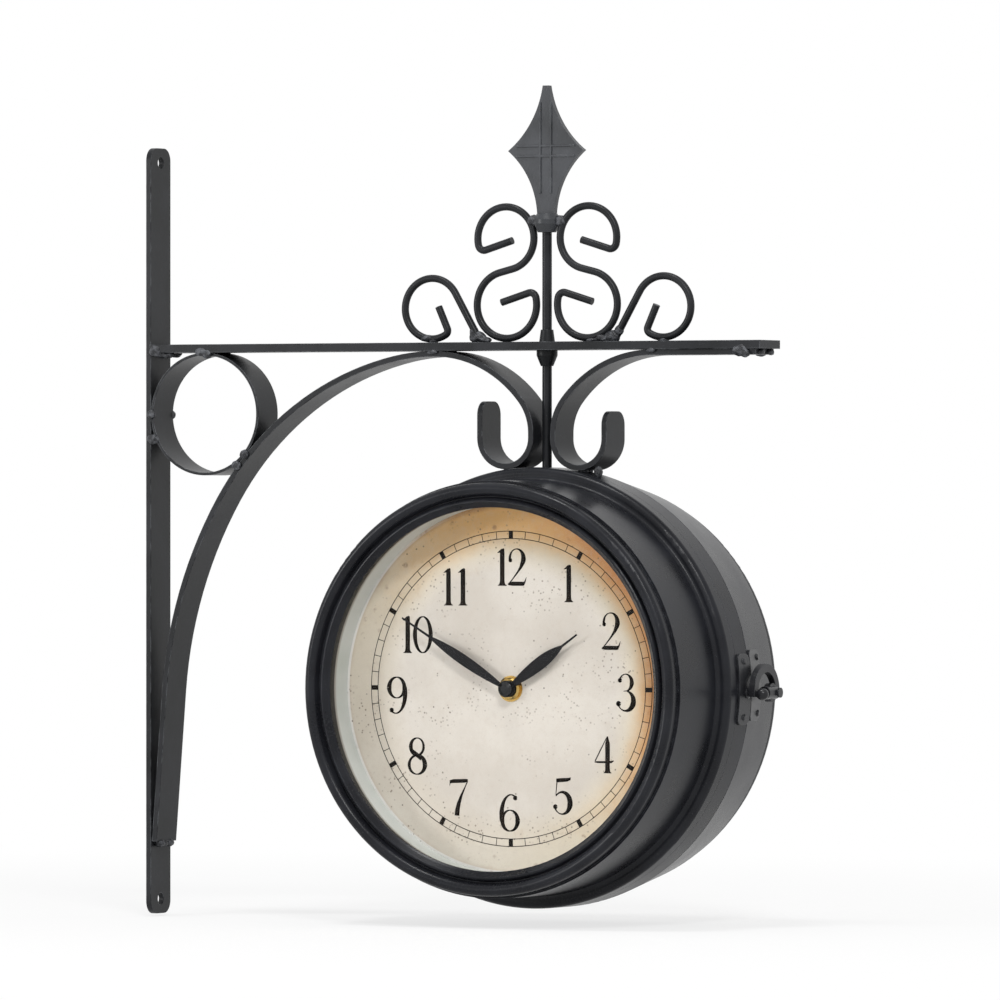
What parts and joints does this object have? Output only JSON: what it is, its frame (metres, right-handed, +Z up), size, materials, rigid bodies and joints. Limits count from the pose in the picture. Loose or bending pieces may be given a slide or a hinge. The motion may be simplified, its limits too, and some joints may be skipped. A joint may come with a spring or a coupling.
{
  "type": "double sided station clock",
  "caption": "Round double sided station clock hung from a scrolled steel wall bracket with a ring, a finial and a hinged, latched rear cover.",
  "frame": {"origin": "on the wall bar's back face, half way between its two screw holes", "axes": "+X out from the wall along the arm, +Z up, the front dial faces -Y"},
  "size_m": [0.374, 0.1296, 0.45],
  "materials": {
    "bracket_paint": "satin powder coat",
    "case_paint": "satin powder coat",
    "latch_paint": "satin paint over plated steel",
    "zinc_steel": "zinc plated",
    "black_rubber": "matt",
    "clear_glass": "polished",
    "spacer_paint": "satin",
    "dial_print": "printed card face laminated on the disc",
    "plate_steel": "bare",
    "movement_plastic": "moulded",
    "cell_wrap": "shrink sleeve",
    "brass": "polished",
    "hand_paint": "satin black",
    "cap_plastic": "gloss black"
  },
  "bodies": {
    "bracket": {"wall_bar": "bracket_paint", "arm_bar": "bracket_paint", "brace_strap": "bracket_paint", "scroll_strap": "bracket_paint", "ring_band": "bracket_paint", "hanger_rod": "bracket_paint", "upper_collar": "bracket_paint", "lower_collar": "bracket_paint", "rod_washer": "zinc_steel", "rod_nut": "zinc_steel", "s_scroll_left": "bracket_paint", "s_scroll_right": "bracket_paint", "c_scroll_left": "bracket_paint", "c_scroll_right": "bracket_paint", "finial": "bracket_paint", "finial_knob": "bracket_paint", "weld_beads": "bracket_paint", "front_shell": "case_paint", "centre_band": "case_paint", "hinge_leaf_fixed": "latch_paint", "hinge_pin": "latch_paint", "keeper_plate": "latch_paint", "keeper_stud": "latch_paint", "band_rivets": "latch_paint", "front_bezel": "case_paint", "front_gasket": "black_rubber", "front_glass": "clear_glass", "front_spacer_ring": "spacer_paint", "front_dial": "dial_print", "front_dial_plate": "plate_steel", "front_movement": "movement_plastic", "front_battery": "cell_wrap", "front_bush_washer": "brass", "front_bush_nut": "brass"},
    "rear_cover": {"rear_shell": "case_paint", "hinge_leaf_moving": "latch_paint", "latch_plate": "latch_paint", "hook_pivot": "latch_paint", "cover_rivets": "latch_paint", "rear_bezel": "case_paint", "rear_gasket": "black_rubber", "rear_glass": "clear_glass", "rear_spacer_ring": "spacer_paint", "rear_dial": "dial_print", "rear_dial_plate": "plate_steel", "rear_movement": "movement_plastic", "rear_battery": "cell_wrap", "rear_bush_washer": "brass", "rear_bush_nut": "brass"},
    "latch_hook": {"latch_hook": "latch_paint", "latch_ball": "latch_paint"},
    "front_minute": {"front_minute_hand": "hand_paint", "front_setting_knob": "movement_plastic", "front_hand_cap": "cap_plastic"},
    "front_hour": {"front_hour_hand": "hand_paint"},
    "rear_minute": {"rear_minute_hand": "hand_paint", "rear_setting_knob": "movement_plastic", "rear_hand_cap": "cap_plastic"},
    "rear_hour": {"rear_hour_hand": "hand_paint"}
  },
  "joints": [
    {"name": "rear_cover_hinge", "type": "hinge", "parent": "bracket", "child": "rear_cover", "pos_m": [0.1195, 0.00475, -0.084], "axis": [0, 0, 1], "range_deg": [0, 100]},
    {"name": "latch_hook_pivot", "type": "hinge", "parent": "rear_cover", "child": "latch_hook", "pos_m": [0.3625, 0.02025, -0.086], "axis": [-1, 0, 0], "range_deg": [0, 110]},
    {"name": "front_minute_turn", "type": "hinge", "parent": "bracket", "child": "front_minute", "pos_m": [0.241, -0.045, -0.084], "axis": [0, 1, 0], "continuous": true},
    {"name": "front_hour_turn", "type": "hinge", "parent": "bracket", "child": "front_hour", "pos_m": [0.241, -0.045, -0.084], "axis": [0, 1, 0], "continuous": true},
    {"name": "rear_minute_turn", "type": "hinge", "parent": "rear_cover", "child": "rear_minute", "pos_m": [0.241, 0.034, -0.084], "axis": [0, -1, 0], "continuous": true},
    {"name": "rear_hour_turn", "type": "hinge", "parent": "rear_cover", "child": "rear_hour", "pos_m": [0.241, 0.034, -0.084], "axis": [0, -1, 0], "continuous": true}
  ],
  "couplings": [
    {"joint": "front_hour_turn", "follows": "front_minute_turn", "ratio": 0.083333},
    {"joint": "rear_hour_turn", "follows": "rear_minute_turn", "ratio": 0.083333}
  ]
}
